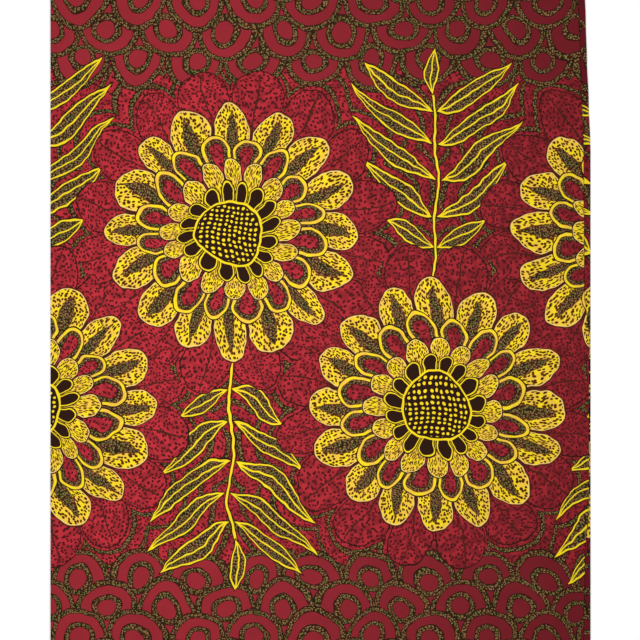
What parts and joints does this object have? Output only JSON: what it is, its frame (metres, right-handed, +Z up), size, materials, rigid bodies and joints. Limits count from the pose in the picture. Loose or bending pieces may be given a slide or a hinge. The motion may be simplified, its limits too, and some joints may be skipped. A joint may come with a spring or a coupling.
{
  "type": "wax print fabric",
  "caption": "Length of printed wax cotton cloth laid flat in folded lays, with one fold stepped out past the top lay.",
  "frame": {"origin": "middle of the flat underside, on the surface that the cloth lies on", "axes": "+Z up, out of the printed face that shows; +Y across the cloth from one selvedge to the other, up in the picture; +X along the cloth, towards the rolled fold of the lay that shows"},
  "size_m": [0.914, 1.1732, 0.0091],
  "materials": {
    "printed_cotton": "plain-woven cotton, wax-resist printed on both faces in crimson, maroon, olive black and yellow, with a faint waxy sheen"
  },
  "bodies": {
    "root": {"top_lay": "printed_cotton", "under_lays": "printed_cotton"}
  },
  "joints": []
}
